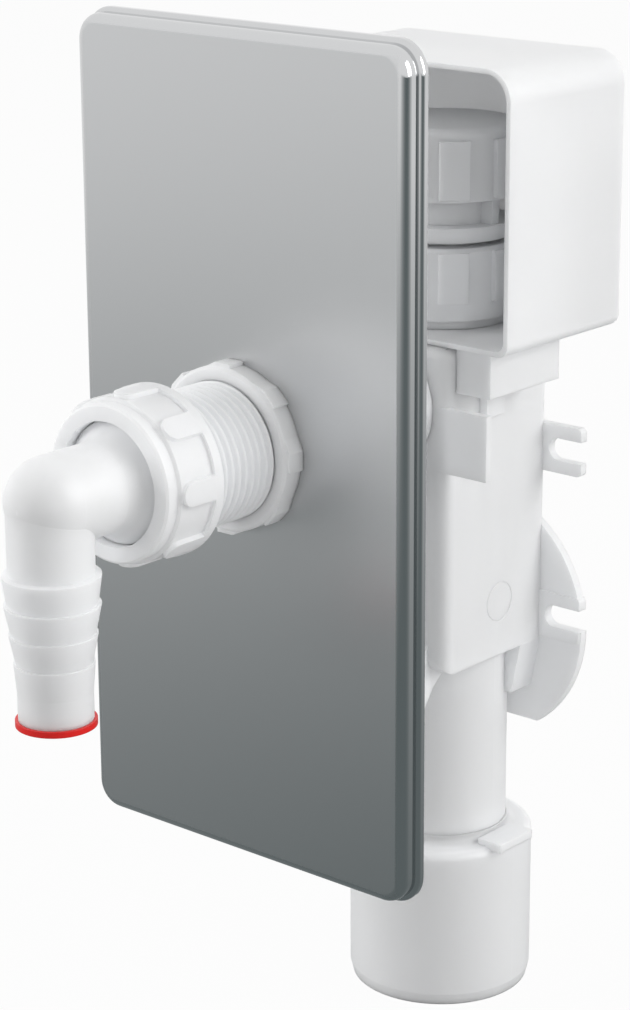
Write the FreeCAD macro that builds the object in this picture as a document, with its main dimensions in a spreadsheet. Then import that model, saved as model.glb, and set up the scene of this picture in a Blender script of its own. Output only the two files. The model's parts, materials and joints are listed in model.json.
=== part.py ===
import FreeCAD, Part
import math
import os
import Sketcher

# Concealed washing machine trap with an air valve: cover plate, threaded inlet with a hose elbow,
# trap column with its outlet pipe, and the box behind the plate that houses the air valve.
# Origin: on the axis of the outlet spigot, at the foot of its straight wall, just above the lead-in.
# +Z is up, the cover plate faces -Y. Heights are measured from the origin.

# Driving dimensions in millimetres, with what each one measures.
SIZES = [
    # Outlet
    ("spigot_radius", 25.0, "outside of the outlet spigot"),
    ("spigot_wall", 2.4, "wall of the outlet spigot"),
    ("spigot_height", 41.6, "straight wall and shoulder of the outlet spigot"),
    ("spigot_shoulder", 3.0, "thickness of the shoulder at the top of the spigot"),
    ("lead_in_height", 3.2, "height of the taper at the lower end of the spigot"),
    ("lead_in_depth", 0.8, "how far the taper goes in"),
    ("spigot_round", 2.2, "rounding of the shoulder"),
    ("collar_round", 2.4, "hollow rounding of the collar that hugs the outlet pipe"),
    ("collar_edge", 0.5, "thickness of the collar's upper edge"),
    ("tab_start", 18.9, "outlet axis to the inner edge of the pull tab"),
    ("tab_reach", 26.5, "outlet axis to the outer edge of the pull tab"),
    ("tab_front", -7.6, "front edge of the pull tab"),
    ("tab_width", 14.2, "width of the pull tab"),
    ("tab_thickness", 1.6, "how far the pull tab stands above the shoulder"),
    ("tab_root", 0.8, "how far the pull tab goes into the shoulder"),
    ("pipe_radius", 17.8, "outside of the outlet pipe"),
    ("pipe_wall", 2.0, "wall of the outlet pipe"),
    ("pipe_insertion", 24.0, "depth of the outlet pipe in the spigot"),
    ("seal_height", 5.0, "height of the lip seal in the spigot"),
    ("seal_groove", 3.8, "depth of the groove in the lip seal"),
    ("seat_clearance", 0.1, "gap between parts that are pushed or screwed together"),
    # Trap column
    ("column_base", 95.4, "underside of the column"),
    ("column_height", 87.4, "height of the column"),
    ("column_width", 43.6, "width of the column"),
    ("column_front", -26.3, "front face of the column, from the outlet axis"),
    ("column_depth", 43.6, "depth of the column, front to back"),
    ("column_round", 3.6, "rounding of the upright edges of the column"),
    ("column_top_round", 3.0, "rounding of the column's upper edges"),
    ("toe_round", 4.0, "rounding of the column's lower front edge"),
    ("body_wall", 2.0, "wall of the column, its plates and its inner walls"),
    ("inlet_chamber", 8.4, "depth of the chamber behind the inlet"),
    ("rising_chamber", 8.0, "depth of the chamber between the inner walls"),
    ("under_pass", 10.0, "height of the passage under the first inner wall"),
    ("weir_height", 52.0, "floor of the column to the top of the overflow wall"),
    ("outlet_window", 14.6, "radius of the opening from the column into the pipe"),
    # Plates, ears and ribs on the column
    ("fin_span", 68.6, "width of the flange across the front of the column"),
    ("fin_drop", 15.6, "inlet axis to the lower edge of the flange"),
    ("fin_height", 17.1, "height of the flange"),
    ("ear_span", 68.2, "tip to tip width of the upper fixing ears"),
    ("lower_ear_span", 70.0, "tip to tip width of the lower fixing ears"),
    ("ear_thickness", 2.5, "thickness of the ears and the disc"),
    ("ear_round", 1.3, "rounding of the tips of the ears"),
    ("ear_height", 13.0, "height of a fixing ear"),
    ("upper_ear_drop", 33.8, "top of the column to the middle of the upper ears"),
    ("lower_ear_rise", 7.3, "underside of the column to the middle of the lower ears"),
    ("slot_width", 6.0, "width of the screw slots"),
    ("slot_end", 26.7, "outlet axis plane to the centre of a slot's round end"),
    ("ear_proud", 0.6, "how far the lower ears stand in front of the disc"),
    ("disc_radius", 35.4, "radius of the disc behind the column"),
    ("disc_rise", 3.9, "underside of the column to the middle of the disc"),
    ("disc_drop", 28.1, "middle of the disc to its flat lower edge"),
    ("wedge_depth", 8.7, "depth of the tapered block in front of the disc"),
    ("wedge_height", 14.1, "height of the tapered block"),
    ("wedge_foot", 38.0, "width of the tapered block at its foot"),
    ("rib_span", 32.0, "width over the two ribs at the foot of the column"),
    ("rib_root", 8.8, "front of the column to the rear end of a rib, under the column"),
    ("rib_waist", 2.1, "front of the column to the bend in a rib's lower edge"),
    ("rib_waist_drop", 5.0, "underside of the column to that bend"),
    ("rib_drop", 11.4, "underside of the column to the tip of a rib"),
    ("rib_tip", 2.0, "width of a rib's tip"),
    ("rib_reach", 4.4, "how far a rib stands in front of the column"),
    ("rib_rise", 9.0, "underside of the column to the upper end of a rib"),
    ("snap_front", -12.9, "front of the snap catch on the column"),
    ("snap_width", 7.2, "width of the snap catch"),
    ("snap_reach", 2.4, "how far the snap catch stands out"),
    ("snap_height", 8.0, "height of the snap catch"),
    ("snap_gap", 0.5, "gap between the snap catch and the cheek above it"),
    ("gate_ring", 5.5, "radius of the ring left by the moulding gate"),
    ("gate_ring_width", 0.4, "width of the gate ring"),
    ("gate_ring_depth", 0.2, "depth of the gate ring"),
    ("gate_setback", 22.8, "front of the column to the middle of the gate ring"),
    ("gate_rise", 15.0, "underside of the column to the middle of the gate ring"),
    # Lid and neck
    ("lid_thickness", 2.4, "thickness of the lid in the column"),
    ("neck_radius", 15.0, "outside of the threaded neck"),
    ("neck_wall", 2.6, "wall of the threaded neck"),
    ("neck_height", 16.6, "neck above the top of the column"),
    # Inlet
    ("inlet_drop", 16.7, "top of the column to the inlet axis"),
    ("thread_radius", 17.1, "outside of the inlet thread"),
    ("inlet_bore", 12.5, "bore radius of the inlet tube"),
    ("inlet_spigot", 14.6, "radius of the inlet tube's end in the column"),
    ("inlet_length", 89.1, "front of the column to the front end of the inlet tube"),
    # Cover plate
    ("plate_width", 106.4, "width of the cover plate"),
    ("plate_height", 210.6, "height of the cover plate"),
    ("plate_drop", 3.7, "inlet axis to the middle of the cover plate"),
    ("plate_reach", 47.6, "front of the column to the rear edge of the cover plate"),
    ("plate_depth", 6.8, "depth of the pressed cover plate"),
    ("plate_sheet", 0.8, "sheet thickness of the cover plate"),
    ("plate_corner", 8.0, "corner radius of the cover plate's rear edge"),
    ("ledge_width", 1.2, "how far the front step of the rim is set in from the rear one"),
    ("ledge_depth", 2.2, "rear edge to the front of the rear step"),
    ("ledge_round", 1.1, "rounding of the rear step"),
    ("rim_round", 2.4, "rounding of the rim's front edge"),
    ("plate_hole_gap", 0.4, "gap round the inlet tube in the cover plate"),
    # Ring nut and union nut
    ("ring_radius", 20.5, "outside of the ring nut"),
    ("ring_thickness", 5.8, "thickness of the ring nut"),
    ("ring_lug", 0.8, "how far the lugs of the ring nut stand out"),
    ("lug_tip", 4.9, "width of a lug's flat tip"),
    ("lug_ramp", 3.2, "length of a lug's slope along the rim"),
    ("ring_lugs", 8, "number of lugs on the ring nut"),
    ("union_overlap", 7.9, "how far the union nut reaches over the inlet tube"),
    ("union_length", 17.6, "length of the union nut"),
    ("union_radius", 19.9, "radius of the panels between the grip ribs"),
    ("union_flange", 20.9, "radius of the rear ring of the union nut"),
    ("union_flange_width", 3.2, "width of the rear ring of the union nut"),
    ("union_nose", 19.1, "radius of the front ring of the union nut"),
    ("union_nose_width", 4.0, "width of the front ring of the union nut"),
    ("union_opening", 15.0, "radius of the front opening of the union nut"),
    ("union_rib", 1.0, "height of the grip ribs"),
    ("union_bevel", 0.6, "bevel of the union nut's edges"),
    ("union_rib_width", 6.0, "width of a grip rib"),
    ("union_ribs", 8, "number of grip ribs"),
    # Elbow, seal and end cap
    ("elbow_offset", 28.45, "end of the inlet tube to the axis of the hose tail"),
    ("elbow_radius", 11.0, "outside of the elbow's level leg and corner"),
    ("corner_setback", 0.8, "axis of the hose tail back to the middle of the elbow's ball corner"),
    ("elbow_bore", 8.0, "bore radius of the elbow"),
    ("elbow_flange", 16.3, "radius of the elbow's collar"),
    ("elbow_flange_width", 3.2, "width of the elbow's collar"),
    ("flare_radius", 14.7, "radius of the flare's foot in the union nut's opening"),
    ("flare_length", 6.6, "length of the hollow flare"),
    ("flare_recess", 2.5, "front of the union nut back to the flare's foot"),
    ("elbow_play", 0.3, "gap on each side of the elbow's collar"),
    ("washer_thickness", 2.0, "thickness of the elbow's flat seal"),
    ("leg_radius", 10.1, "outside of the upright leg"),
    ("tail_drop", 52.0, "inlet axis to the lower end of the hose tail"),
    ("tail_radius", 8.85, "outside of the hose tail at its end"),
    ("tail_bore", 6.8, "bore radius of the hose tail"),
    ("barb_pitch", 7.05, "spacing of the barbs"),
    ("barb_drop", 16.9, "inlet axis to the top of the first barb"),
    ("barb_rim", 0.3, "height of the straight edge of a barb"),
    ("large_barb", 11.53, "radius of the first barb"),
    ("second_barb", 11.28, "radius of the second barb"),
    ("middle_barb", 10.35, "radius of the third barb"),
    ("small_barb", 9.45, "radius of the fourth barb"),
    ("large_waist", 10.58, "radius at the foot of the first barb"),
    ("middle_waist", 9.88, "radius at the foot of the second barb"),
    ("small_waist", 8.98, "radius at the foot of the third barb"),
    ("barb_shoulder", 0.3, "height of the slope from the first barb to the leg"),
    ("cap_radius", 9.6, "radius of the red end cap"),
    ("cap_thickness", 1.45, "thickness of the end cap's rim"),
    ("cap_plug", 7.0, "depth of the end cap's plug"),
    ("cap_wall", 1.2, "wall of the end cap's plug"),
    # Box
    ("box_width", 77.8, "width of the box"),
    ("box_height", 71.0, "height of the box"),
    ("box_depth", 48.7, "depth of the box"),
    ("box_wall", 1.3, "wall of the box"),
    ("box_top_round", 8.0, "rounding of the box's upper edges"),
    ("box_foot_round", 3.0, "rounding of the box's lower edges"),
    ("box_back_round", 1.5, "rounding of the edge round the box's back"),
    ("cheek_reach", 32.9, "middle plane to the outer face of a cheek"),
    ("cheek_front", -23.0, "front face of the cheeks"),
    ("cheek_depth", 28.8, "depth of the cheeks"),
    ("cheek_height", 11.7, "height of the cheeks under the box"),
    ("cheek_gap", 0.15, "gap between a cheek and the column"),
    ("neck_gap", 0.2, "gap round the neck in the floor of the box"),
    # Air valve
    ("gasket_radius", 17.4, "outside of the floor gasket"),
    ("gasket_thickness", 2.3, "thickness of the floor gasket"),
    ("nut_radius", 18.7, "outside of the valve nut"),
    ("nut_height", 18.7, "height of the valve nut"),
    ("nut_lip", 2.2, "thickness of the valve nut's upper lip"),
    ("grip_height", 0.8, "how far the grips stand out on the valve nut and cap"),
    ("grip_width", 8.0, "width of a grip"),
    ("grips", 8, "number of grips"),
    ("nut_grip_base", 4.7, "base of the valve nut to its grips"),
    ("nut_grip_length", 13.1, "length of the grips on the valve nut"),
    ("cap_grip_length", 14.8, "length of the grips on the valve cap"),
    ("stem_radius", 12.8, "outside of the valve body's stem"),
    ("stem_bore", 10.6, "bore radius of the valve body's stem"),
    ("foot_radius", 14.6, "radius of the valve body's foot inside the nut"),
    ("foot_thickness", 2.0, "thickness of the valve body's foot"),
    ("valve_seal_thickness", 1.4, "thickness of the seal under the valve body"),
    ("flange_radius", 17.6, "radius of the valve body's flange"),
    ("flange_gap", 1.3, "nut to the valve body's flange"),
    ("flange_thickness", 3.8, "thickness of the valve body's flange"),
    ("air_gap", 6.9, "height of the air gap under the cap"),
    ("seat_height", 5.6, "air gap to the seats of the diaphragm"),
    ("seat_outer", 17.0, "outside of the outer seat"),
    ("seat_wall", 1.4, "wall of the outer seat"),
    ("post_width", 3.0, "width of the posts that carry the outer seat"),
    ("posts", 3, "number of posts"),
    ("cap_skirt", 18.9, "outside of the valve cap"),
    ("valve_cap_height", 18.5, "height of the valve cap"),
    ("valve_cap_wall", 1.7, "wall of the valve cap"),
    ("valve_cap_round", 2.0, "rounding of the cap's top edge"),
    ("diaphragm_radius", 16.4, "radius of the diaphragm"),
    ("diaphragm_thickness", 2.0, "thickness of the diaphragm"),
    ("diaphragm_play", 0.3, "gap between the diaphragm and its seats"),
]


class Size:
    """A length that knows its value now and the text that ties it to the sheet."""

    def __init__(self, value, text):
        self.value = float(value)
        self.text = text

    def join(self, other, sign, value, turned=False):
        right = other.text if isinstance(other, Size) else repr(float(other))
        first, second = (right, self.text) if turned else (self.text, right)
        return Size(value, f"({first} {sign} {second})")

    def __add__(self, other):
        return self.join(other, "+", self.value + number(other))

    def __radd__(self, other):
        return self.join(other, "+", self.value + number(other), turned=True)

    def __sub__(self, other):
        return self.join(other, "-", self.value - number(other))

    def __rsub__(self, other):
        return self.join(other, "-", number(other) - self.value, turned=True)

    def __mul__(self, other):
        return self.join(other, "*", self.value * number(other))

    __rmul__ = __mul__

    def __truediv__(self, other):
        return self.join(other, "/", self.value / number(other))

    def __neg__(self):
        return Size(-self.value, f"(-{self.text})")


def number(length):
    return length.value if isinstance(length, Size) else float(length)


class Sizes:
    """The sizes of the sheet, by name."""


doc = FreeCAD.newDocument("washing_machine_trap")
sheet = doc.addObject("Spreadsheet::Sheet", "sizes")
d = Sizes()
for row, (name, value, meaning) in enumerate(SIZES, start=1):
    sheet.set(f"A{row}", meaning)
    sheet.set(f"B{row}", str(value))
    sheet.setAlias(f"B{row}", name)
    setattr(d, name, Size(value, f"sizes.{name}"))
doc.recompute()

zero = Size(0.0, "0")
vector = FreeCAD.Vector
upright = vector(0, 0, 1)


def bind(thing, path, length):
    """Ties one property to the sheet."""
    thing.setExpression(path, length.text if isinstance(length, Size) else repr(float(length)))


def new_body(label, x=zero, y=zero, z=zero, facing_front=False):
    """A piece of its own. With facing_front its own z axis points out of the wall, along -Y."""
    body = doc.addObject("PartDesign::Body", label)
    body.Label = label
    if facing_front:
        body.Placement = FreeCAD.Placement(vector(), FreeCAD.Rotation(vector(1, 0, 0), 90))
    for axis, length in (("x", x), ("y", y), ("z", z)):
        bind(body, f"Placement.Base.{axis}", length)
    return body


def new_sketch(body, plane="XZ_Plane", offset=None):
    sketch = body.newObject("Sketcher::SketchObject", body.Label + "_sketch")
    support = [feature for feature in body.Origin.OriginFeatures if feature.Role == plane][0]
    sketch.AttachmentSupport = [(support, "")]
    sketch.MapMode = "FlatFace"
    if offset is not None:
        bind(sketch, "AttachmentOffset.Base.z", offset)
    return sketch


def fix_point(sketch, edge, end, x, y):
    for kind, length in (("DistanceX", x), ("DistanceY", y)):
        tie(sketch, Sketcher.Constraint(kind, -1, 1, edge, end, number(length)), length)


def tie(sketch, constraint, length):
    index = sketch.addConstraint(constraint)
    bind(sketch, f"Constraints[{index}]", length)


class Bend:
    """A corner that is reached by an arc about a centre, turning left (+1) or right (-1)."""

    def __init__(self, x, y, centre_x, centre_y, turn):
        self.point = (x, y)
        self.centre = (centre_x, centre_y)
        self.turn = turn


def draw(sketch, *corners):
    """A closed outline through the corners: straight to a plain (x, y), round to a Bend."""
    ways = [corner if isinstance(corner, Bend) else None for corner in corners]
    places = [corner.point if isinstance(corner, Bend) else corner for corner in corners]
    spots = [vector(number(x), number(y), 0) for x, y in places]
    edges = []
    for index, way in enumerate(ways):
        start, end = spots[index - 1], spots[index]
        if way is None:
            edges.append((sketch.addGeometry(Part.LineSegment(start, end), False), 1, 2))
            continue
        centre = vector(number(way.centre[0]), number(way.centre[1]), 0)
        left, right = (start, end) if way.turn > 0 else (end, start)
        angles = [math.atan2(spot.y - centre.y, spot.x - centre.x) for spot in (left, right)]
        circle = Part.Circle(centre, upright, (start - centre).Length)
        edge = sketch.addGeometry(Part.ArcOfCircle(circle, *angles), False)
        edges.append((edge, 1, 2) if way.turn > 0 else (edge, 2, 1))
    for index, (edge, _, last) in enumerate(edges):
        following, start = edges[(index + 1) % len(edges)][:2]
        sketch.addConstraint(Sketcher.Constraint("Coincident", edge, last, following, start))
        fix_point(sketch, edge, last, *places[index])
        if ways[index] is not None:
            chord = spots[index] - spots[index - 1]
            sideways = abs(chord.y) >= abs(chord.x)
            kind = "DistanceX" if sideways else "DistanceY"
            length = ways[index].centre[0 if sideways else 1]
            tie(sketch, Sketcher.Constraint(kind, -1, 1, edge, 3, number(length)), length)


def draw_circle(sketch, x, y, radius):
    edge = sketch.addGeometry(Part.Circle(vector(number(x), number(y), 0), upright, number(radius)), False)
    fix_point(sketch, edge, 3, x, y)
    tie(sketch, Sketcher.Constraint("Radius", edge, number(radius)), radius)


def draw_rectangle(sketch, left, low, right, high):
    draw(sketch, (left, low), (right, low), (right, high), (left, high))


def draw_rounded(sketch, left, low, right, high, foot, top):
    """A rectangle with one radius for its two lower corners and one for its two upper corners."""
    draw(
        sketch,
        (right - foot, low),
        Bend(right, low + foot, right - foot, low + foot, 1),
        (right, high - top),
        Bend(right - top, high, right - top, high - top, 1),
        (left + top, high),
        Bend(left, high - top, left + top, high - top, 1),
        (left, low + foot),
        Bend(left + foot, low, left + foot, low + foot, 1),
    )


def pad(body, sketch, length, reverse=False):
    feature = body.newObject("PartDesign::Pad", body.Label + "_pad")
    feature.Profile = sketch
    bind(feature, "Length", length)
    feature.Reversed = reverse
    return settle(body, feature, grows=True)


def pocket(body, sketch, length, reverse=False):
    feature = body.newObject("PartDesign::Pocket", body.Label + "_pocket")
    feature.Profile = sketch
    bind(feature, "Length", length)
    feature.Reversed = reverse
    return settle(body, feature, grows=False)


def turn(body, sketch, axis="V_Axis", cut=False):
    """Turns a profile once round an axis of its sketch, to add or to cut."""
    kind = "Groove" if cut else "Revolution"
    feature = body.newObject("PartDesign::" + kind, body.Label + "_turned")
    feature.Profile = sketch
    feature.ReferenceAxis = (sketch, [axis])
    feature.Angle = 360
    return settle(body, feature, grows=not cut)


def settle(body, feature, grows):
    """Rebuilds and makes sure that a feature really adds or takes away material."""
    base = feature.BaseFeature
    before = base.Shape.Volume if base else 0.0
    doc.recompute()
    change = feature.Shape.Volume - before
    if (change > 0) != grows or abs(change) < 1e-6:
        raise RuntimeError(f"{feature.Name} changes the volume of {body.Label} by {change}")
    return feature


def repeat_round(body, feature, count):
    """Copies a feature evenly round the body's own z axis."""
    pattern = body.newObject("PartDesign::PolarPattern", body.Label + "_pattern")
    pattern.Originals = [feature]
    axis = [origin for origin in body.Origin.OriginFeatures if origin.Role == "Z_Axis"][0]
    pattern.Axis = (axis, [""])
    pattern.Angle = 360
    bind(pattern, "Occurrences", count)
    feature.Visibility = False
    body.Tip = pattern
    doc.recompute()
    return pattern


def round_edges(body, feature, radius, chosen):
    """Rounds the edges of a feature that the test picks."""
    names = [f"Edge{index}" for index, edge in enumerate(feature.Shape.Edges, start=1) if chosen(edge)]
    fillet = body.newObject("PartDesign::Fillet", body.Label + "_round")
    fillet.Base = (feature, names)
    bind(fillet, "Radius", radius)
    doc.recompute()
    return fillet


def lies_at(axis, level):
    """Picks the edges that lie whole in the plane where x, y or z is level."""

    def test(edge):
        box = edge.BoundBox
        low, high = {"x": (box.XMin, box.XMax), "y": (box.YMin, box.YMax), "z": (box.ZMin, box.ZMax)}[axis]
        return abs(low - number(level)) < 1e-4 and abs(high - number(level)) < 1e-4

    return test


# Levels and planes that several pieces share.
half_column = d.column_width / 2
column_back = d.column_front + d.column_depth
column_floor = d.column_base + d.body_wall
column_top = d.column_base + d.column_height
inlet_height = column_top - d.inlet_drop
inlet_reach = d.inlet_length - d.column_front
plate_rear = d.plate_reach - d.column_front
plate_front = plate_rear + d.plate_depth
plate_middle = inlet_height - d.plate_drop
box_half = d.box_width / 2
box_half_depth = d.box_depth / 2
box_floor = column_top + d.box_wall
nut_base = box_floor + d.gasket_thickness
nut_top = nut_base + d.nut_height
neck_top = column_top + d.neck_height
flange_base = nut_top + d.flange_gap
flange_top = flange_base + d.flange_thickness
cap_base = flange_top + d.air_gap
seat_top = cap_base + d.seat_height
cap_top = cap_base + d.valve_cap_height
union_rear = inlet_reach - d.union_overlap
union_front = union_rear + d.union_length
washer_front = inlet_reach + d.washer_thickness
collar_rear = washer_front + d.elbow_play
collar_front = collar_rear + d.elbow_flange_width
elbow_reach = inlet_reach + d.elbow_offset
tail_end = inlet_height - d.tail_drop


def make_outlet_reducer():
    """Spigot of the drain size with a shoulder that closes on the outlet pipe, and a pull tab."""
    body = new_body("outlet_reducer")
    inside = d.spigot_radius - d.spigot_wall
    hole = d.pipe_radius + d.seat_clearance
    lip, collar_top = hole + d.collar_edge, d.spigot_height + d.collar_round
    sketch = new_sketch(body)
    draw(
        sketch,
        (inside, -d.lead_in_height),
        (d.spigot_radius - d.lead_in_depth, -d.lead_in_height),
        (d.spigot_radius, zero),
        (d.spigot_radius, d.spigot_height - d.spigot_round),
        Bend(d.spigot_radius - d.spigot_round, d.spigot_height,
             d.spigot_radius - d.spigot_round, d.spigot_height - d.spigot_round, 1),
        (lip + d.collar_round, d.spigot_height),
        Bend(lip, collar_top, lip + d.collar_round, collar_top, -1),
        (hole, collar_top),
        (hole, d.spigot_height - d.spigot_shoulder),
        (inside, d.spigot_height - d.spigot_shoulder),
    )
    turn(body, sketch)
    tab = new_sketch(body, "XY_Plane", d.spigot_height - d.tab_root)
    draw_rectangle(tab, d.tab_start, d.tab_front, d.tab_reach, d.tab_front + d.tab_width)
    pad(body, tab, d.tab_root + d.tab_thickness)


def make_reducer_seal():
    """Lip seal between the outlet pipe and the spigot, under the shoulder."""
    body = new_body("reducer_seal")
    top = d.spigot_height - d.spigot_shoulder
    inner = d.pipe_radius + d.seat_clearance / 2
    outer = d.spigot_radius - d.spigot_wall - d.seat_clearance / 2
    lip = (outer - inner) / 3
    sketch = new_sketch(body)
    draw(
        sketch,
        (inner, top - d.seal_height),
        (inner + lip, top - d.seal_height),
        (outer - lip, top - d.seal_height / 2),
        (outer, top - d.seal_height / 2),
        (outer, top),
        (inner + lip, top),
        (inner + lip, top - d.seal_height / 2),
        (inner, top - d.seal_groove),
    )
    turn(body, sketch)


def make_trap_body():
    """Square column with its inner walls, outlet pipe, front flange, rear disc, ears and ribs."""
    body = new_body("trap_body")
    inner_half = half_column - d.body_wall
    chamber_front = d.column_front + d.body_wall
    first_wall = chamber_front + d.inlet_chamber
    second_chamber = first_wall + d.body_wall
    weir = second_chamber + d.rising_chamber
    shaft = weir + d.body_wall
    chamber_back = column_back - d.body_wall

    column = new_sketch(body, "XY_Plane", d.column_base)
    bend = d.column_round
    draw_rounded(column, -half_column, d.column_front, half_column, column_back, bend, bend)
    block = pad(body, column, d.column_height)
    round_edges(body, block, d.column_top_round, lies_at("z", column_top))

    flange = new_sketch(body, "XZ_Plane", -d.column_front)
    fin_base = inlet_height - d.fin_drop
    draw_rectangle(flange, -d.fin_span / 2, fin_base, d.fin_span / 2, fin_base + d.fin_height)
    pad(body, flange, d.body_wall, reverse=True)

    disc = new_sketch(body, "XZ_Plane", -column_back)
    disc_middle = d.column_base + d.disc_rise
    foot_level = disc_middle - d.disc_drop
    half_flat = math.sqrt(number(d.disc_radius) ** 2 - number(d.disc_drop) ** 2)
    half_flat = Size(half_flat, f"sqrt({d.disc_radius.text}^2 - {d.disc_drop.text}^2)")
    draw(
        disc,
        (half_flat, foot_level),
        Bend(zero, disc_middle + d.disc_radius, zero, disc_middle, 1),
        Bend(-half_flat, foot_level, zero, disc_middle, 1),
    )
    pad(body, disc, d.ear_thickness)

    ear_rows = (
        (column_top - d.upper_ear_drop, d.ear_span / 2, d.ear_thickness),
        (d.column_base + d.lower_ear_rise, d.lower_ear_span / 2, d.ear_thickness + d.ear_proud),
    )
    for middle, tip, thickness in ear_rows:
        ears = new_sketch(body, "XZ_Plane", -column_back)
        low, high = middle - d.ear_height / 2, middle + d.ear_height / 2
        draw_rounded(ears, -tip, low, tip, high, d.ear_round, d.ear_round)
        pad(body, ears, thickness)
        slots = new_sketch(body, "XZ_Plane", -column_back)
        for side in (1, -1):
            draw_slot(slots, middle, tip, side)
        pocket(body, slots, thickness, reverse=True)

    wedge = new_sketch(body, "XZ_Plane", d.ear_thickness - column_back)
    draw(
        wedge,
        (-d.wedge_foot / 2, d.column_base - d.wedge_height),
        (d.wedge_foot / 2, d.column_base - d.wedge_height),
        (half_column, d.column_base),
        (-half_column, d.column_base),
    )
    pad(body, wedge, d.wedge_depth)

    pipe = new_sketch(body, "XY_Plane", d.spigot_height - d.pipe_insertion)
    draw_circle(pipe, zero, zero, d.pipe_radius)
    pad(body, pipe, d.column_base - d.spigot_height + d.pipe_insertion)

    toe = new_sketch(body, "YZ_Plane", half_column)
    toe_back, toe_top = d.column_front + d.toe_round, d.column_base + d.toe_round
    draw(
        toe,
        (d.column_front, toe_top),
        Bend(toe_back, d.column_base, toe_back, toe_top, 1),
        (d.column_front, d.column_base),
    )
    pocket(body, toe, d.column_width)

    for place in (d.rib_span / 2 - d.body_wall, -d.rib_span / 2):
        rib = new_sketch(body, "YZ_Plane", place)
        nose, inside = d.column_front - d.rib_reach, d.body_wall / 2
        draw(
            rib,
            (d.column_front + d.rib_root, d.column_base + inside),
            (d.column_front + d.rib_waist, d.column_base - d.rib_waist_drop),
            (nose + d.rib_tip, d.column_base - d.rib_drop),
            (nose, d.column_base - d.rib_drop),
            (nose, d.column_base + inside),
            (d.column_front + inside, d.column_base + d.rib_rise),
        )
        pad(body, rib, d.body_wall)

    for side in (1, -1):
        catch = new_sketch(body, "XY_Plane", column_top - d.cheek_height - d.snap_gap - d.snap_height)
        inner, outer = half_column * side, (half_column + d.snap_reach) * side
        near, far = d.snap_front, d.snap_front + d.snap_width
        draw(catch, (inner, near), (outer, near), (outer, far), (inner, far))
        pad(body, catch, d.snap_height)

    chambers = new_sketch(body, "XY_Plane", column_top)
    for front, back in ((chamber_front, first_wall), (second_chamber, weir), (shaft, chamber_back)):
        draw_rectangle(chambers, -inner_half, front, inner_half, back)
    pocket(body, chambers, d.column_height - d.body_wall)

    passage = new_sketch(body, "XY_Plane", column_floor)
    draw_rectangle(passage, -inner_half, first_wall, inner_half, second_chamber)
    pocket(body, passage, d.under_pass, reverse=True)

    overflow = new_sketch(body, "XY_Plane", column_floor + d.weir_height)
    draw_rectangle(overflow, -inner_half, weir, inner_half, shaft)
    pocket(body, overflow, d.column_height - d.body_wall - d.weir_height, reverse=True)

    lid_seat = new_sketch(body, "XY_Plane", column_top - d.lid_thickness)
    draw_rectangle(lid_seat, -inner_half, first_wall, inner_half, second_chamber)
    pocket(body, lid_seat, d.lid_thickness, reverse=True)

    bore = new_sketch(body, "XY_Plane", d.spigot_height - d.pipe_insertion)
    draw_circle(bore, zero, zero, d.pipe_radius - d.pipe_wall)
    pocket(body, bore, d.column_base - d.spigot_height + d.pipe_insertion, reverse=True)

    window = new_sketch(body, "XY_Plane", d.column_base)
    reach = math.sqrt(number(d.outlet_window) ** 2 - number(shaft) ** 2)
    reach = Size(reach, f"sqrt({d.outlet_window.text}^2 - {shaft.text}^2)")
    draw(
        window,
        (reach, shaft),
        Bend(zero, d.outlet_window, zero, zero, 1),
        Bend(-reach, shaft, zero, zero, 1),
    )
    pocket(body, window, d.body_wall, reverse=True)

    inlet = new_sketch(body, "XZ_Plane", -d.column_front)
    draw_circle(inlet, zero, inlet_height, d.inlet_spigot + d.seat_clearance)
    pocket(body, inlet, d.body_wall)

    gate = new_sketch(body, "YZ_Plane", half_column)
    gate_middle = (d.column_front + d.gate_setback, d.column_base + d.gate_rise)
    draw_circle(gate, *gate_middle, d.gate_ring)
    draw_circle(gate, *gate_middle, d.gate_ring - d.gate_ring_width)
    pocket(body, gate, d.gate_ring_depth)


def draw_slot(sketch, middle, tip, side):
    """A screw slot with a round inner end, open past the tip of its ear."""
    half = d.slot_width / 2
    end, mouth = d.slot_end * side, (tip + d.body_wall) * side
    draw(
        sketch,
        (mouth, middle + half * side),
        (end, middle + half * side),
        Bend((d.slot_end - half) * side, middle, end, middle, 1),
        Bend(end, middle - half * side, end, middle, 1),
        (mouth, middle - half * side),
    )


def make_body_lid():
    """Lid of the column with the threaded neck that carries the air valve."""
    body = new_body("body_lid")
    inset = d.body_wall + d.seat_clearance
    plate = new_sketch(body, "XY_Plane", column_top - d.lid_thickness)
    draw_rectangle(
        plate, inset - half_column, d.column_front + inset, half_column - inset, column_back - inset
    )
    pad(body, plate, d.lid_thickness)
    neck = new_sketch(body, "XY_Plane", column_top)
    draw_circle(neck, zero, zero, d.neck_radius)
    pad(body, neck, d.neck_height)
    bore = new_sketch(body, "XY_Plane", column_top - d.lid_thickness)
    draw_circle(bore, zero, zero, d.neck_radius - d.neck_wall)
    pocket(body, bore, d.neck_height + d.lid_thickness, reverse=True)


def make_inlet_tube():
    """Tube from the column through the cover plate, threaded outside at its front."""
    body = new_body("inlet_tube", z=inlet_height, facing_front=True)
    rear = -d.column_front
    sketch = new_sketch(body)
    draw(
        sketch,
        (d.inlet_bore, rear - d.body_wall),
        (d.inlet_spigot, rear - d.body_wall),
        (d.inlet_spigot, rear),
        (d.thread_radius, rear),
        (d.thread_radius, inlet_reach),
        (d.inlet_bore, inlet_reach),
    )
    turn(body, sketch)


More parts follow.
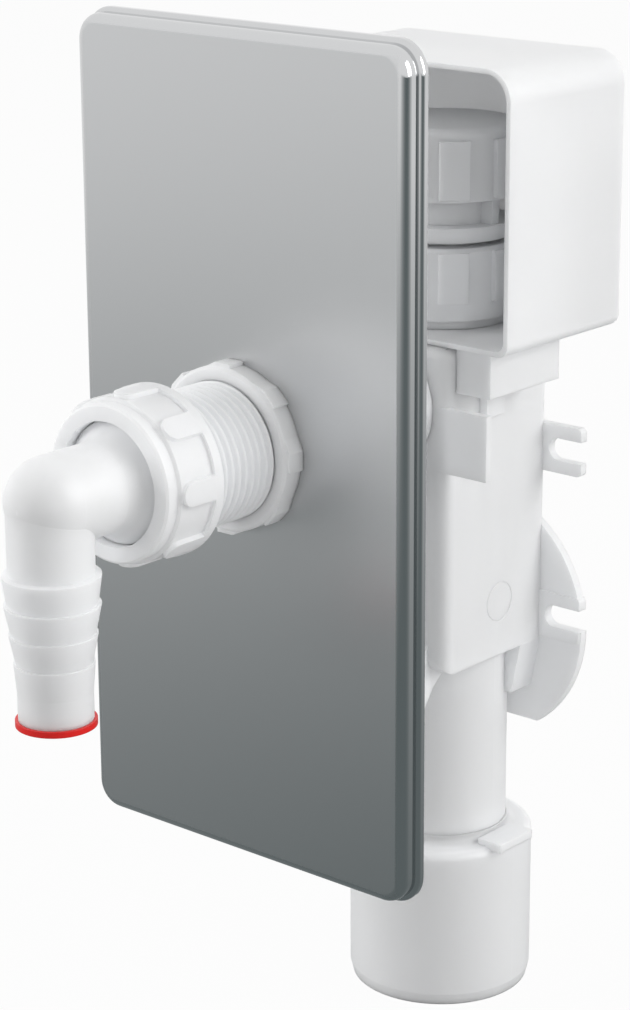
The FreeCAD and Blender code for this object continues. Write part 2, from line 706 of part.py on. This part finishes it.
def make_cover_plate():
    """Pressed sheet plate: a flat front inside a rim of two rounded steps."""
    body = new_body("cover_plate", y=-plate_rear, z=plate_middle)
    wide, tall = d.plate_width / 2, d.plate_height / 2
    steps = ((zero, d.ledge_depth, d.ledge_round), (d.ledge_width, d.plate_depth, d.rim_round))

    def loop(sketch, inset):
        corner = d.plate_corner - inset
        draw_rounded(sketch, inset - wide, inset - tall, wide - inset, tall - inset, corner, corner)

    for inset, depth, rounding in steps:
        step = new_sketch(body)
        loop(step, inset)
        block = pad(body, step, depth)
        round_edges(body, block, rounding, lies_at("y", -depth))
    for inset, depth, _ in steps:
        hollow = new_sketch(body)
        loop(hollow, inset + d.plate_sheet)
        cut = pocket(body, hollow, depth - d.plate_sheet, reverse=True)
    round_edges(body, cut, d.rim_round - d.plate_sheet, lies_at("y", d.plate_sheet - d.plate_depth))
    hole = new_sketch(body)
    draw_circle(hole, zero, inlet_height - plate_middle, d.thread_radius + d.plate_hole_gap)
    pocket(body, hole, d.plate_depth, reverse=True)


def make_ring_nut():
    """Ring nut that clamps the cover plate, with sloping lugs for the fingers."""
    body = new_body("ring_nut", z=inlet_height, facing_front=True)
    inner = d.thread_radius + d.seat_clearance
    bevel = d.ring_lug
    front = plate_front + d.ring_thickness
    sketch = new_sketch(body)
    draw(
        sketch,
        (inner, plate_front),
        (d.ring_radius, plate_front),
        (d.ring_radius, front - bevel),
        (d.ring_radius - bevel, front),
        (inner, front),
    )
    turn(body, sketch)
    lug = new_sketch(body, "XY_Plane", plate_front)
    tip = d.ring_radius + d.ring_lug
    half = d.lug_tip / 2
    draw(
        lug,
        (d.ring_radius - d.ring_lug, -half),
        (tip, -half),
        (tip, half),
        (d.ring_radius - d.ring_lug, half + d.lug_ramp),
    )
    feature = pad(body, lug, d.ring_thickness - bevel)
    repeat_round(body, feature, d.ring_lugs)


def make_union_nut():
    """Union nut with a rear ring, grip ribs with round ends and a front opening for the elbow."""
    body = new_body("union_nut", z=inlet_height, facing_front=True)
    inner = d.thread_radius + d.seat_clearance
    rear_ring = union_rear + d.union_flange_width
    nose_ring = union_front - d.union_nose_width
    bevel = d.union_bevel
    sketch = new_sketch(body)
    draw(
        sketch,
        (inner, union_rear),
        (d.union_flange - bevel, union_rear),
        (d.union_flange, union_rear + bevel),
        (d.union_flange, rear_ring),
        (d.union_radius, rear_ring),
        (d.union_radius, nose_ring),
        (d.union_nose, nose_ring + bevel),
        (d.union_nose, union_front - bevel),
        (d.union_nose - bevel, union_front),
        (d.union_opening, union_front),
        (d.union_opening, collar_front + d.elbow_play),
        (inner, collar_front + d.elbow_play),
    )
    turn(body, sketch)
    rib = new_sketch(body, "YZ_Plane", d.union_radius - d.union_rib)
    half = d.union_rib_width / 2
    draw(
        rib,
        (half, rear_ring),
        (half, nose_ring - half),
        Bend(zero, nose_ring, zero, nose_ring - half, 1),
        Bend(-half, nose_ring - half, zero, nose_ring - half, 1),
        (-half, rear_ring),
    )
    feature = pad(body, rib, d.union_rib * 2)
    repeat_round(body, feature, d.union_ribs)


def make_elbow_seal():
    """Flat seal between the end of the inlet tube and the elbow's collar."""
    body = new_body("elbow_seal", z=inlet_height, facing_front=True)
    sketch = new_sketch(body)
    draw_rectangle(sketch, d.inlet_bore, inlet_reach, d.elbow_flange, washer_front)
    turn(body, sketch)


def make_elbow_tail():
    """Square elbow with a ball corner, a collar under the union nut and a stepped hose tail."""
    body = new_body("elbow_tail", y=-elbow_reach, z=inlet_height)
    rear, front = elbow_reach - collar_rear, elbow_reach - collar_front
    flare_foot = elbow_reach - union_front + d.flare_recess
    flare_start = flare_foot - d.flare_length
    rise = d.flare_radius - d.elbow_radius
    sweep = (d.flare_length * d.flare_length + rise * rise) / (rise * 2)
    level = new_sketch(body, "YZ_Plane")
    draw(
        level,
        (rear, zero),
        (rear, d.elbow_flange),
        (front, d.elbow_flange),
        (front, d.flare_radius),
        (flare_foot, d.flare_radius),
        Bend(flare_start, d.elbow_radius, flare_start, d.elbow_radius + sweep, -1),
        (d.corner_setback, d.elbow_radius),
        Bend(d.corner_setback - d.elbow_radius, zero, d.corner_setback, zero, 1),
    )
    turn(body, level, "H_Axis")

    upright_leg = new_sketch(body, "YZ_Plane")
    foot = -d.tail_drop
    barbs = [
        (d.tail_radius, d.small_barb),
        (d.small_waist, d.middle_barb),
        (d.middle_waist, d.second_barb),
        (d.large_waist, d.large_barb),
    ]
    level = -d.barb_drop - d.barb_pitch * len(barbs)
    outline = [(zero, zero), (zero, foot), (d.tail_radius, foot)]
    for waist, rim in barbs:
        outline.append((waist, level))
        level = level + d.barb_pitch
        outline += [(rim, level - d.barb_rim), (rim, level)]
    outline += [(d.leg_radius, level + d.barb_shoulder), (d.leg_radius, zero)]
    draw(upright_leg, *outline)
    turn(body, upright_leg, "V_Axis")

    level_bore = new_sketch(body, "YZ_Plane")
    draw(
        level_bore,
        (rear, zero),
        (rear, d.elbow_bore),
        (zero, d.elbow_bore),
        Bend(-d.elbow_bore, zero, zero, zero, 1),
    )
    turn(body, level_bore, "H_Axis", cut=True)
    tail_bore = new_sketch(body, "YZ_Plane")
    draw_rectangle(tail_bore, zero, foot, d.tail_bore, zero)
    turn(body, tail_bore, "V_Axis", cut=True)


def make_end_cap():
    """Cap that closes the hose tail until the hose is fitted: a rim and a hollow plug."""
    body = new_body("end_cap", y=-elbow_reach)
    rim_top = tail_end
    plug = d.tail_bore - d.seat_clearance
    sketch = new_sketch(body)
    draw(
        sketch,
        (zero, rim_top - d.cap_thickness),
        (d.cap_radius, rim_top - d.cap_thickness),
        (d.cap_radius, rim_top),
        (plug, rim_top),
        (plug, rim_top + d.cap_plug),
        (plug - d.cap_wall, rim_top + d.cap_plug),
        (plug - d.cap_wall, rim_top),
        (zero, rim_top),
    )
    turn(body, sketch)


def make_wall_box():
    """Box behind the plate, open at the front, with two hollow cheeks beside the column."""
    body = new_body("wall_box")
    outer = new_sketch(body, "XZ_Plane", -box_half_depth)
    box_top = column_top + d.box_height
    draw_rounded(outer, -box_half, column_top, box_half, box_top, d.box_foot_round, d.box_top_round)
    block = pad(body, outer, d.box_depth)
    round_edges(body, block, d.box_back_round, lies_at("y", box_half_depth))
    for side in (1, -1):
        near = (half_column + d.cheek_gap) * side
        far = d.cheek_reach * side
        back = d.cheek_front + d.cheek_depth
        cheek = new_sketch(body, "XY_Plane", column_top - d.cheek_height)
        draw(cheek, (near, d.cheek_front), (far, d.cheek_front), (far, back), (near, back))
        pad(body, cheek, d.cheek_height + d.box_wall)
        inside = new_sketch(body, "XY_Plane", column_top - d.cheek_height)
        wall = d.box_wall
        front = d.cheek_front + wall
        inner_far = far - wall * side
        draw(inside, (near, front), (inner_far, front), (inner_far, back - wall), (near, back - wall))
        pocket(body, inside, d.cheek_height, reverse=True)
    hollow = new_sketch(body, "XZ_Plane", box_half_depth)
    inset = d.box_wall
    draw_rounded(
        hollow, inset - box_half, column_top + inset, box_half - inset, column_top + d.box_height - inset,
        d.box_foot_round - inset / 2, d.box_top_round - inset,
    )
    pocket(body, hollow, d.box_depth - d.box_wall)
    hole = new_sketch(body, "XY_Plane", column_top)
    draw_circle(hole, zero, zero, d.neck_radius + d.neck_gap)
    pocket(body, hole, d.box_wall, reverse=True)


def make_floor_gasket():
    """Gasket between the floor of the box and the valve nut."""
    body = new_body("floor_gasket")
    sketch = new_sketch(body)
    draw_rectangle(sketch, d.neck_radius + d.seat_clearance, box_floor, d.gasket_radius, nut_base)
    turn(body, sketch)


def add_grips(body, radius, base, height):
    """Broad upright grips round a nut or cap."""
    grip = new_sketch(body, "YZ_Plane", radius - d.grip_height)
    half = d.grip_width / 2
    draw_rectangle(grip, -half, base, half, base + height)
    feature = pad(body, grip, d.grip_height * 2)
    repeat_round(body, feature, d.grips)


def make_valve_nut():
    """Nut on the neck that holds down the box and the foot of the valve body."""
    body = new_body("valve_nut")
    inner = d.neck_radius + d.seat_clearance
    opening = d.stem_radius + d.seat_clearance
    bevel = d.grip_height
    sketch = new_sketch(body)
    draw(
        sketch,
        (inner, nut_base),
        (d.nut_radius, nut_base),
        (d.nut_radius, nut_top - bevel),
        (d.nut_radius - bevel, nut_top),
        (opening, nut_top),
        (opening, nut_top - d.nut_lip),
        (inner, nut_top - d.nut_lip),
    )
    turn(body, sketch)
    add_grips(body, d.nut_radius, nut_base + d.nut_grip_base, d.nut_grip_length)


def make_valve_seal():
    """Flat seal between the top of the neck and the foot of the valve body."""
    body = new_body("valve_seal")
    sketch = new_sketch(body)
    inner = d.neck_radius - d.neck_wall
    draw_rectangle(sketch, inner, neck_top, d.foot_radius, neck_top + d.valve_seal_thickness)
    turn(body, sketch)


def make_valve_body():
    """Stem with a foot and a flange; posts carry the outer seat, and air passes between them."""
    body = new_body("valve_body")
    foot_base = neck_top + d.valve_seal_thickness
    foot_top = foot_base + d.foot_thickness
    sketch = new_sketch(body)
    draw(
        sketch,
        (d.stem_bore, foot_base),
        (d.foot_radius, foot_base),
        (d.foot_radius, foot_top),
        (d.stem_radius, foot_top),
        (d.stem_radius, flange_base),
        (d.flange_radius, flange_base),
        (d.flange_radius, flange_top),
        (d.stem_radius, flange_top),
        (d.stem_radius, seat_top),
        (d.stem_bore, seat_top),
    )
    turn(body, sketch)
    seat = new_sketch(body)
    draw_rectangle(seat, d.seat_outer - d.seat_wall, cap_base, d.seat_outer, seat_top)
    post = new_sketch(body, "YZ_Plane", d.stem_radius - d.seat_wall / 2)
    half = d.post_width / 2
    draw_rectangle(post, -half, flange_top, half, seat_top - d.seat_wall)
    feature = pad(body, post, d.seat_outer - d.stem_radius)
    repeat_round(body, feature, d.posts)
    turn(body, seat)


def make_valve_diaphragm():
    """Diaphragm that closes both seats and lifts when the drain draws air."""
    body = new_body("valve_diaphragm")
    base = seat_top + d.diaphragm_play
    middle = d.stem_bore - d.diaphragm_thickness
    sketch = new_sketch(body)
    draw(
        sketch,
        (zero, base),
        (d.diaphragm_radius, base),
        (d.diaphragm_radius, base + d.diaphragm_thickness / 2),
        (middle, base + d.diaphragm_thickness / 2),
        (middle - d.diaphragm_thickness, base + d.diaphragm_thickness),
        (zero, base + d.diaphragm_thickness),
    )
    turn(body, sketch)


def make_valve_cap():
    """Closed cap over the diaphragm, on the outer seat."""
    body = new_body("valve_cap")
    inner = d.seat_outer + d.seat_clearance
    roof = cap_top - d.valve_cap_wall
    edge = d.valve_cap_round
    sketch = new_sketch(body)
    draw(
        sketch,
        (inner, cap_base),
        (d.cap_skirt, cap_base),
        (d.cap_skirt, cap_top - edge),
        Bend(d.cap_skirt - edge, cap_top, d.cap_skirt - edge, cap_top - edge, 1),
        (zero, cap_top),
        (zero, roof),
        (inner, roof),
    )
    turn(body, sketch)
    add_grips(body, d.cap_skirt, cap_base + d.grip_height, d.cap_grip_length)


MAKERS = [
    make_outlet_reducer,
    make_reducer_seal,
    make_trap_body,
    make_body_lid,
    make_inlet_tube,
    make_cover_plate,
    make_ring_nut,
    make_union_nut,
    make_elbow_seal,
    make_elbow_tail,
    make_end_cap,
    make_wall_box,
    make_floor_gasket,
    make_valve_nut,
    make_valve_seal,
    make_valve_body,
    make_valve_diaphragm,
    make_valve_cap,
]
for maker in MAKERS:
    maker()
doc.recompute()

failed = [thing.Name for thing in doc.Objects if {"Invalid", "Error"} & set(thing.State)]
pieces = [thing for thing in doc.Objects if thing.isDerivedFrom("PartDesign::Body")]
failed += [piece.Label for piece in pieces if piece.Shape.isNull() or not piece.Shape.isValid()]
if failed:
    raise RuntimeError("these did not build: " + ", ".join(failed))

os.makedirs("parts", exist_ok=True)
for piece in pieces:
    piece.Shape.exportStep(f"parts/{piece.Label}.step")
    print(piece.Label, len(piece.Shape.Solids), round(piece.Shape.Volume, 1))
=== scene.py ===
import json
import math

import bpy
import numpy as np
from mathutils import Matrix, Vector


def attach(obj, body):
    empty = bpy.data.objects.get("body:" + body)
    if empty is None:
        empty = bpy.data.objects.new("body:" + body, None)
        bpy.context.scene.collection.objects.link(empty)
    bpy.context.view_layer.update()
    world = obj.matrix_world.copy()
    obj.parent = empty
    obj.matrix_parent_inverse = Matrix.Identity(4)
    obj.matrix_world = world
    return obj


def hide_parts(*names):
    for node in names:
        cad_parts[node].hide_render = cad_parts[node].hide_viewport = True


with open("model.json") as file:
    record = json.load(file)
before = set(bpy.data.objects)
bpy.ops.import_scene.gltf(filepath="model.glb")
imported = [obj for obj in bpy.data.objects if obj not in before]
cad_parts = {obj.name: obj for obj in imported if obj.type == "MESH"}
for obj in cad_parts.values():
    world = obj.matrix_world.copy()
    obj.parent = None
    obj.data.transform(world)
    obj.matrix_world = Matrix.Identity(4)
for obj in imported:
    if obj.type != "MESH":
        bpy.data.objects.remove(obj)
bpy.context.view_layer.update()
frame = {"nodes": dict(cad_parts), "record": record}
mm = 0.001
white = (1, 1, 1, 1)
print("frame loaded,", len(frame["nodes"]), "nodes")


# sRGB hex to linear light, which is what shader sockets take
def hexColour(code):
    parts = np.array([int(code[i:i + 2], 16) for i in (1, 3, 5)]) / 255
    linear = np.where(parts <= 0.04045, parts / 12.92, ((parts + 0.055) / 1.055) ** 2.4)
    return (*linear.tolist(), 1.0)


# adds one node: settings by keyword, fixed values and links by socket name or number
def addNode(tree, kind, values=None, links=None, **settings):
    node = tree.nodes.new(kind)
    for key, value in settings.items():
        setattr(node, key, value)
    for key, value in (values or {}).items():
        node.inputs[key].default_value = value
    for key, source in (links or {}).items():
        tree.links.new(source, node.inputs[key])
    return node


# one step of arithmetic on a socket, with a fixed number or a second socket
def reckon(tree, operation, first, second=0.0):
    fixed = isinstance(second, float)
    values = {1: second} if fixed else {}
    links = {0: first} if fixed else {0: first, 1: second}
    return addNode(tree, "ShaderNodeMath", values, links, operation=operation).outputs[0]


# moves a value from one range to another and holds it at the ends
def rescale(tree, value, before, after):
    ends = {"From Min": before[0], "From Max": before[1], "To Min": after[0], "To Max": after[1]}
    return addNode(tree, "ShaderNodeMapRange", ends, {"Value": value}).outputs[0]


# mottling with patches of about the given size in millimetres
def mottle(tree, place, size, detail):
    values = {"Scale": 1 / (size * mm), "Detail": detail}
    return addNode(tree, "ShaderNodeTexNoise", values, {"Vector": place}).outputs[0]


def blendTones(tree, share, first, second):
    return addNode(tree, "ShaderNodeMix", {6: first, 7: second}, {0: share}, data_type="RGBA").outputs[2]


# shallow dents as deep as the given millimetres, on top of another normal where there is one
def dent(tree, height, strength, depth, normal=None):
    links = {"Height": height, "Normal": normal} if normal else {"Height": height}
    return addNode(tree, "ShaderNodeBump", {"Strength": strength, "Distance": depth * mm}, links).outputs[0]


# rounds the look of sharp edges by the given millimetres
def bluntEdges(tree, radius):
    return addNode(tree, "ShaderNodeBevel", {"Radius": radius * mm}, samples=4).outputs[0]


def emptyFinish(name):
    finish = bpy.data.materials.new(name)
    finish.use_nodes = True
    tree = finish.node_tree
    tree.nodes.clear()
    return finish, tree, addNode(tree, "ShaderNodeTexCoord").outputs["Object"]


def closeFinish(tree, values, links):
    shader = addNode(tree, "ShaderNodeBsdfPrincipled", values, links)
    addNode(tree, "ShaderNodeOutputMaterial", links={"Surface": shader.outputs[0]})


# moulded polypropylene: natural white, from a spark-eroded mould, so gloss is wide and soft,
# corners are slightly blunt and the tone drifts a little where the melt flowed; light goes a few
# millimetres into it, and less far into the thread, so that the fine ridges stay crisp
moulding = {"bright": "#F5F6F7", "flow": "#F1F2F4", "flowSize": 38, "flowDetail": 2.0, "grainSize": 0.7,
            "grainDetail": 3.0, "roughness": (0.36, 0.46), "edge": 0.3, "dentStrength": 0.08, "dentDepth": 0.02,
            "refraction": 1.49, "glow": 0.85, "depth": 4.5, "threadDepth": 0.9}


def mouldedPolypropylene(name, depth):
    finish, tree, place = emptyFinish(name)
    flow = mottle(tree, place, moulding["flowSize"], moulding["flowDetail"])
    tint = blendTones(tree, flow, hexColour(moulding["bright"]), hexColour(moulding["flow"]))
    grain = mottle(tree, place, moulding["grainSize"], moulding["grainDetail"])
    gloss = rescale(tree, grain, (0, 1), moulding["roughness"])
    dimple = dent(tree, grain, moulding["dentStrength"], moulding["dentDepth"],
                  bluntEdges(tree, moulding["edge"]))
    closeFinish(tree, {"IOR": moulding["refraction"], "Subsurface Weight": moulding["glow"],
                       "Subsurface Radius": (1, 1, 1), "Subsurface Scale": depth * mm},
                {"Base Color": tint, "Roughness": gloss, "Normal": dimple})
    return finish


# satin stainless sheet: the flat keeps a fine blasted grain that blurs what it mirrors, while the
# rim is drawn over the press tool and comes out burnished; real grain is near 0.05 mm, drawn coarser to show
sheet = {"steel": "#D0D1D2", "grainSize": 0.35, "grainDetail": 3.0, "flatRoughness": 0.34, "rimRoughness": 0.1,
         "speckle": (-0.02, 0.02), "dentStrength": 0.05, "dentDepth": 0.01,
         "halfWidth": 49.6, "halfHeight": 101.7, "middle": 162.4, "blend": 0.6}


def satinStainless():
    finish, tree, place = emptyFinish("satinStainless")
    spot = addNode(tree, "ShaderNodeSeparateXYZ", links={0: place})
    across = reckon(tree, "ABSOLUTE", spot.outputs[0])
    along = reckon(tree, "ABSOLUTE", reckon(tree, "SUBTRACT", spot.outputs[2], sheet["middle"] * mm))
    pastSide = reckon(tree, "SUBTRACT", across, sheet["halfWidth"] * mm)
    pastEnd = reckon(tree, "SUBTRACT", along, sheet["halfHeight"] * mm)
    past = reckon(tree, "MAXIMUM", pastSide, pastEnd)
    burnish = rescale(tree, past, (0, sheet["blend"] * mm), (sheet["flatRoughness"], sheet["rimRoughness"]))
    grain = mottle(tree, place, sheet["grainSize"], sheet["grainDetail"])
    roughness = reckon(tree, "ADD", burnish, rescale(tree, grain, (0, 1), sheet["speckle"]))
    dimple = dent(tree, grain, sheet["dentStrength"], sheet["dentDepth"])
    closeFinish(tree, {"Base Color": hexColour(sheet["steel"]), "Metallic": 1.0},
                {"Roughness": roughness, "Normal": dimple})
    return finish


# dyed polyethylene cap: soft and waxy, fairly glossy, a little uneven from a cheap mould
capDye = {"red": "#E71C17", "deep": "#DC1713", "waveSize": 6, "waveDetail": 2.0, "roughness": (0.26, 0.38),
          "edge": 0.3, "refraction": 1.51}


def dyedPolyethylene():
    finish, tree, place = emptyFinish("dyedPolyethylene")
    wave = mottle(tree, place, capDye["waveSize"], capDye["waveDetail"])
    tint = blendTones(tree, wave, hexColour(capDye["red"]), hexColour(capDye["deep"]))
    gloss = rescale(tree, wave, (0, 1), capDye["roughness"])
    closeFinish(tree, {"IOR": capDye["refraction"]},
                {"Base Color": tint, "Roughness": gloss, "Normal": bluntEdges(tree, capDye["edge"])})
    return finish


# nitrile rubber seals: matt black with a bloom that greys the surface in patches
sealRubber = {"black": "#1B1B1C", "bloom": "#2A2A2B", "bloomSize": 4, "bloomDetail": 4.0, "grainSize": 0.4,
              "grainDetail": 2.0, "dentStrength": 0.2, "dentDepth": 0.03, "roughness": 0.72, "refraction": 1.52}


def nitrileRubber():
    finish, tree, place = emptyFinish("nitrileRubber")
    bloom = mottle(tree, place, sealRubber["bloomSize"], sealRubber["bloomDetail"])
    tint = blendTones(tree, bloom, hexColour(sealRubber["black"]), hexColour(sealRubber["bloom"]))
    grain = mottle(tree, place, sealRubber["grainSize"], sealRubber["grainDetail"])
    dimple = dent(tree, grain, sealRubber["dentStrength"], sealRubber["dentDepth"])
    closeFinish(tree, {"Roughness": sealRubber["roughness"], "IOR": sealRubber["refraction"]},
                {"Base Color": tint, "Normal": dimple})
    return finish


finishes = {"white_polypropylene": mouldedPolypropylene("mouldedPolypropylene", moulding["depth"]),
            "stainless_steel": satinStainless(), "red_plastic": dyedPolyethylene(),
            "black_rubber": nitrileRubber()}
for subpart in frame["record"]["subparts"]:
    shown = frame["nodes"][subpart["node"]]
    shown.data.materials.clear()
    shown.data.materials.append(finishes[subpart["material_slot"]])
print("finishes set:", ", ".join(finishes))


# a ring of rows by columns, closed both ways: faces join each point to the next row and the next column
def ringPiece(name, points):
    rows, columns = points.shape[:2]
    index = np.arange(rows * columns).reshape(rows, columns)
    below, beside = np.roll(index, -1, 0), np.roll(index, -1, 1)
    corner = np.roll(below, -1, 1)
    faces = np.stack([index, beside, corner, below], -1).reshape(-1, 4)
    mesh = bpy.data.meshes.new(name)
    mesh.from_pydata(points.reshape(-1, 3), [], faces)
    mesh.polygons.foreach_set("use_smooth", np.ones(len(faces), bool))
    mesh.update()
    piece = bpy.data.objects.new(name, mesh)
    bpy.context.scene.collection.objects.link(piece)
    return piece


thread = {"axisHeight": 166.1, "rear": 24.3, "shoulder": 26.3, "front": 115.4, "bore": 12.5, "spigot": 14.6,
          "crest": 17.15, "root": 15.85, "pitch": 2.3, "start": 48, "runOut": 3.0, "leadIn": 1.6,
          "tipDrop": 0.4, "flatness": 0.35, "edgeRow": 0.05, "columns": 144, "rowsPerTurn": 11}


# the tube's section is carried round the inlet axis; on the outside the radius swings between root and
# crest with the phase y / pitch + angle / full turn, which winds the ridges into one right-hand helix,
# and the swing fades in behind the first turn and is cut down by a cone at the front end
def threadedTube():
    angle = np.linspace(0, 2 * math.pi, thread["columns"], endpoint=False)
    turns = (thread["front"] - thread["start"]) / thread["pitch"]
    wound = np.linspace(thread["start"], thread["front"], int(turns * thread["rowsPerTurn"]))
    swing = np.cos(2 * math.pi * (wound[:, None] / thread["pitch"] + angle[None, :] / (2 * math.pi)))
    ridge = 0.5 + 0.5 * swing / np.sqrt(thread["flatness"] + (1 - thread["flatness"]) * swing ** 2)
    depth = thread["crest"] - thread["root"]
    fade = np.clip((wound - thread["start"]) / thread["runOut"], 0, 1)[:, None]
    outside = thread["crest"] - depth * fade * (1 - ridge)
    cone = thread["root"] - thread["tipDrop"] + (thread["front"] - wound)[:, None] / thread["leadIn"]
    outside = np.minimum(outside, cone)
    ones = np.ones((1, thread["columns"]))
    edge = thread["edgeRow"]
    plain = [(thread["spigot"], thread["rear"]), (thread["spigot"], thread["shoulder"]),
             (thread["crest"], thread["shoulder"]), (thread["crest"], thread["shoulder"] + edge)]
    inside = [(thread["bore"], thread["front"]), (thread["bore"], thread["front"] - edge),
              (thread["bore"], thread["rear"] + edge), (thread["bore"], thread["rear"])]
    radius = np.vstack([r * ones for r, _ in plain] + [outside] + [r * ones for r, _ in inside])
    reach = np.concatenate([[y for _, y in plain], wound, [y for _, y in inside]])[:, None] * ones
    height = thread["axisHeight"] + radius * np.cos(angle)
    tube = ringPiece("threaded_tube", np.stack([radius * np.sin(angle), -reach, height], -1) * mm)
    tube.data.materials.append(mouldedPolypropylene("threadPolypropylene", moulding["threadDepth"]))
    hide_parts("inlet_tube")
    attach(tube, "trap")
    return tube


tube = threadedTube()
print("threaded tube,", len(tube.data.polygons), "faces")


scene = bpy.context.scene
scene.view_settings.view_transform = "Standard"
# the shade settings below paint a shadow into the floor's glow, darker near the object, which only the metal
# shows
studio = {"ambient": 0.6, "floorLevel": -3.2, "floorHalf": 12.0, "floorTone": "#BABABA", "floorWhite": 0.96,
          "plateFoot": (0.0, -0.08, 0.0), "paintedShadeMiddle": (0.12, -0.27, 0.0), "paintedNearShade": "#656E6F",
          "paintedShadeReach": (0.17, 1.5), "lampTarget": (0, -0.05, 0.14)}

# dim sides: begins and full are cosines of the angle from the way they lie, least is the darkest tone
dimWall = {"facing": (0.8, -0.6, 0.0), "begins": 0.0, "full": 0.9, "least": 0.12}
# the floor's dim side is a painted dark sector in the board's glow, which the metal mirrors as dark bands on
# the rim
floorPaintedDarkSector = {"facing": (0.97, -0.242, 0.0), "begins": 0.38, "full": 0.985, "least": 0.0}


# the first is one where a ray comes straight from the camera, the second also by way of metal or clear plastic
def seenDirectly(tree):
    rays = addNode(tree, "ShaderNodeLightPath").outputs
    shiny = reckon(tree, "MAXIMUM", rays["Is Glossy Ray"], rays["Is Transmission Ray"])
    return rays["Is Camera Ray"], reckon(tree, "MAXIMUM", rays["Is Camera Ray"], shiny)


# one where a direction points away from the dim side, falling to the least tone where it points at it
def dimSide(tree, direction, dim):
    facing = addNode(tree, "ShaderNodeVectorMath", {1: dim["facing"]}, {0: direction}, operation="DOT_PRODUCT")
    return rescale(tree, facing.outputs["Value"], (dim["begins"], dim["full"]), (1, dim["least"]))


# white walls to the eye and in shiny things, but as a source of soft light one wall, behind the camera, is dim,
# which leaves the near sides of things in gentle shade
def whiteRoom():
    room = bpy.data.worlds.new("whiteRoom")
    room.use_nodes = True
    tree = room.node_tree
    tree.nodes.clear()
    seen = seenDirectly(tree)[1]
    wall = dimSide(tree, addNode(tree, "ShaderNodeTexCoord").outputs["Generated"], dimWall)
    level = reckon(tree, "MAXIMUM", reckon(tree, "MULTIPLY", wall, studio["ambient"]), seen)
    sky = addNode(tree, "ShaderNodeBackground", {"Color": white}, {"Strength": level})
    addNode(tree, "ShaderNodeOutputWorld", links={"Surface": sky.outputs[0]})
    scene.world = room


# painted board: white to the eye with a little real shading, so the shadow stays; in the metal it shows painted
# shade, darker towards the object as a painted shadow of what stands on it, and darker towards its dim side as
# a painted dark sector
def paintedFloor():
    half = studio["floorHalf"]
    corners = np.array([(-half, -half), (half, -half), (half, half), (-half, half)])
    mesh = bpy.data.meshes.new("floor")
    mesh.from_pydata(np.column_stack([corners, np.full(4, studio["floorLevel"] * mm)]), [], [(0, 1, 2, 3)])
    floor = bpy.data.objects.new("floor", mesh)
    scene.collection.objects.link(floor)
    finish, tree, place = emptyFinish("boardWithPaintedShade")
    eye, seen = seenDirectly(tree)
    # painted shadow: the glow seen in the metal is painted darker near the object
    away = addNode(tree, "ShaderNodeVectorMath", {1: studio["paintedShadeMiddle"]}, {0: place}, operation="DISTANCE")
    shade = rescale(tree, away.outputs["Value"], studio["paintedShadeReach"], (0, 1))
    offset = addNode(tree, "ShaderNodeVectorMath", {1: studio["plateFoot"]}, {0: place}, operation="SUBTRACT")
    heading = addNode(tree, "ShaderNodeVectorMath", links={0: offset.outputs[0]}, operation="NORMALIZE")
    # painted shade: the glow is painted darker towards the floor's dim side
    wall = dimSide(tree, heading.outputs[0], floorPaintedDarkSector)
    level = reckon(tree, "MAXIMUM", eye, reckon(tree, "MULTIPLY", shade, wall))
    tone = blendTones(tree, level, hexColour(studio["paintedNearShade"]), white)
    glow = addNode(tree, "ShaderNodeEmission", {"Strength": 1.0}, {"Color": tone})
    paint = addNode(tree, "ShaderNodeBsdfDiffuse", {"Color": hexColour(studio["floorTone"])})
    share = reckon(tree, "MULTIPLY", seen, studio["floorWhite"])
    both = addNode(tree, "ShaderNodeMixShader", links={0: share, 1: paint.outputs[0], 2: glow.outputs[0]})
    addNode(tree, "ShaderNodeOutputMaterial", links={"Surface": both.outputs[0]})
    floor.data.materials.append(finish)


lamps = {"key": {"at": (1.4, 0.45, 0.8), "size": 1.1, "power": 16.6, "mirrored": True},
         "fill": {"at": (-1.2, -1.0, 0.6), "size": 0.9, "power": 14.0, "mirrored": False},
         "front": {"at": (1.3, -1.15, 0.45), "size": 0.9, "power": 4.7, "mirrored": False},
         "top": {"at": (0.0, -0.1, 1.7), "size": 0.9, "power": 3.7, "mirrored": False}}


def hangLamps():
    target = Vector(studio["lampTarget"])
    for name, lamp in lamps.items():
        light = bpy.data.lights.new(name + "SoftBox", "AREA")
        light.shape, light.size, light.energy = "SQUARE", lamp["size"], lamp["power"]
        holder = bpy.data.objects.new(name + "SoftBox", light)
        holder.location = lamp["at"]
        holder.rotation_euler = (target - holder.location).to_track_quat("-Z", "Y").to_euler()
        holder.visible_glossy = lamp["mirrored"]
        scene.collection.objects.link(holder)


shot = {"at": (443.92, -562.28, 350.41), "turn": 40.41, "dip": 16.99, "roll": -0.16, "focal": 2801.27,
        "middle": (344.09, 506.2), "frame": (630, 1010), "clip": (0.05, 60)}


# the camera looks left by turn and down by dip; its focal length and middle are in pixels of the frame
def placeCamera():
    turn, dip, roll = (math.radians(shot[key]) for key in ("turn", "dip", "roll"))
    ahead = Vector((-math.sin(turn) * math.cos(dip), math.cos(turn) * math.cos(dip), -math.sin(dip)))
    level = Vector((math.cos(turn), math.sin(turn), 0))
    above = level.cross(ahead)
    right = level * math.cos(roll) + above * math.sin(roll)
    up = above * math.cos(roll) - level * math.sin(roll)
    wide, high = shot["frame"]
    lens = bpy.data.cameras.new("camera")
    lens.lens = shot["focal"] / high * lens.sensor_width
    lens.shift_x = (wide / 2 - shot["middle"][0]) / high
    lens.shift_y = (shot["middle"][1] - high / 2) / high
    lens.clip_start, lens.clip_end = shot["clip"]
    camera = bpy.data.objects.new("camera", lens)
    axes = Matrix((right, up, -ahead)).transposed().to_4x4()
    camera.matrix_world = Matrix.Translation(Vector(shot["at"]) * mm) @ axes
    scene.collection.objects.link(camera)
    scene.camera = camera


whiteRoom()
paintedFloor()
hangLamps()
placeCamera()
print("studio and camera set")
